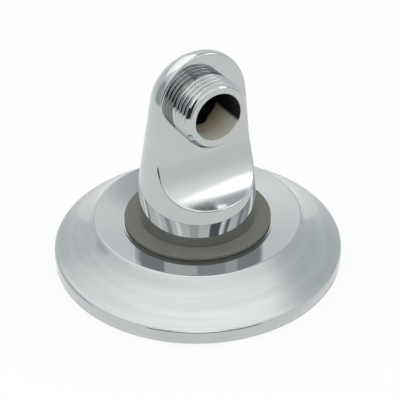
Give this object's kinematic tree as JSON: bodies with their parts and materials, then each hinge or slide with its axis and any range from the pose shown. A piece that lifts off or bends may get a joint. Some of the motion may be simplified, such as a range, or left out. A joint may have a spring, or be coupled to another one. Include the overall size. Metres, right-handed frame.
{
  "type": "shower wall outlet",
  "caption": "Chromed wall elbow for a shower hose: a tapered domed body with a flat face, scooped foot and threaded spigot, on a soft washer and a round flared wall flange.",
  "frame": {"origin": "centre of the flange on the wall plane, where the rim meets the wall", "axes": "+Z leaves the wall along the axis of the flange, the washer and the wall tail; -Y is the way the hose spigot points; +X is sideways"},
  "size_m": [0.094, 0.094, 0.0713],
  "materials": {
    "flange_chrome": "polished chrome plate on pressed brass sheet",
    "washer_rubber": "satin warm grey, moulded",
    "elbow_chrome": "polished chrome plate on cast brass, bare brass inside the bore"
  },
  "bodies": {
    "root": {"wall_flange": "flange_chrome", "sealing_washer": "washer_rubber", "outlet_elbow": "elbow_chrome"}
  },
  "joints": []
}
